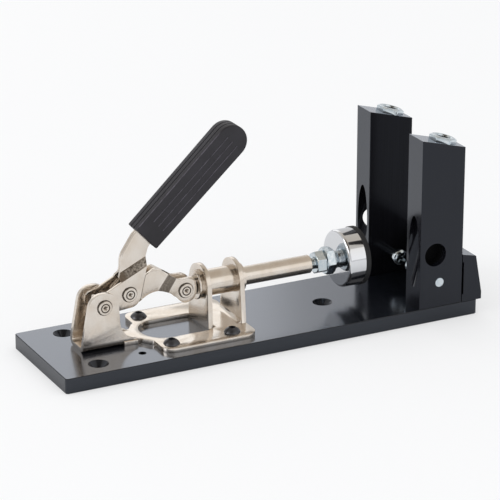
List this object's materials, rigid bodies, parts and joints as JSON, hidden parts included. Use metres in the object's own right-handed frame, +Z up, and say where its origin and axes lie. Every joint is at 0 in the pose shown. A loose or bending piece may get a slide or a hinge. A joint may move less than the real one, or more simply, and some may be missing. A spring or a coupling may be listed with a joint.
{
  "type": "pocket hole jig",
  "caption": "Pocket hole jig with a flat base plate, a push-pull toggle clamp with a rubber foot, and twin angled drill guide blocks against a fence.",
  "frame": {"origin": "middle of the underside of the base plate", "axes": "+X along the base from the clamp to the drill guides, +Y across the base, +Z up"},
  "size_m": [0.2929, 0.0853, 0.1421],
  "materials": {
    "black_anodised": "satin",
    "nickel_plate": "polished",
    "zinc_plate": "bright",
    "chrome_plate": "polished",
    "black_oxide": "satin",
    "grip_rubber": "matte",
    "pad_rubber": "matte"
  },
  "bodies": {
    "base": {"base_plate": "black_anodised", "guide_fence": "black_anodised", "fence_screws": "black_oxide", "clamp_bracket": "nickel_plate", "bracket_screws": "black_oxide", "guide_tube": "nickel_plate", "handle_pivot_rivet": "nickel_plate"},
    "handle": {"handle_near_leaf": "nickel_plate", "handle_far_leaf": "nickel_plate", "handle_grip": "grip_rubber", "link_pivot_rivet": "nickel_plate"},
    "link": {"near_link_plate": "nickel_plate", "far_link_plate": "nickel_plate", "near_plunger_rivet": "nickel_plate", "far_plunger_rivet": "nickel_plate"},
    "plunger": {"plunger_rod": "nickel_plate"},
    "foot": {"foot_spindle": "zinc_plate", "foot_jam_nut": "nickel_plate", "foot_cup": "chrome_plate", "foot_pad": "pad_rubber"},
    "near_guide": {"near_guide_block": "black_anodised", "near_drill_bush": "zinc_plate", "near_stop_screw": "zinc_plate", "near_guide_bolt": "black_oxide", "near_guide_washer": "black_oxide"},
    "far_guide": {"far_guide_block": "black_anodised", "far_drill_bush": "zinc_plate", "far_stop_screw": "zinc_plate", "far_guide_bolt": "black_oxide", "far_guide_washer": "black_oxide"}
  },
  "joints": [
    {"name": "handle_hinge", "type": "hinge", "parent": "base", "child": "handle", "pos_m": [-0.10494, 0, 0.0383], "axis": [0, 1, 0], "range_deg": [-105, 14.5]},
    {"name": "link_hinge", "type": "hinge", "parent": "handle", "child": "link", "pos_m": [-0.08645, 0, 0.04267], "axis": [0, 1, 0], "range_deg": [-18.6, 131.8]},
    {"name": "plunger_slide", "type": "slide", "parent": "base", "child": "plunger", "axis": [1, 0, 0], "range_m": [-0.0303, 0.0044]},
    {"name": "foot_adjust", "type": "slide", "parent": "plunger", "child": "foot", "axis": [1, 0, 0], "range_m": [-0.0025, 0.008]},
    {"name": "near_guide_slide", "type": "slide", "parent": "base", "child": "near_guide", "axis": [0, 1, 0], "range_m": [0, 0.0055]},
    {"name": "far_guide_slide", "type": "slide", "parent": "base", "child": "far_guide", "axis": [0, 1, 0], "range_m": [-0.0055, 0]}
  ],
  "couplings": [
    {"joint": "link_hinge", "follows": "handle_hinge", "ratio": -1.25},
    {"joint": "plunger_slide", "follows": "handle_hinge", "m_per_rad": 0.0164}
  ]
}
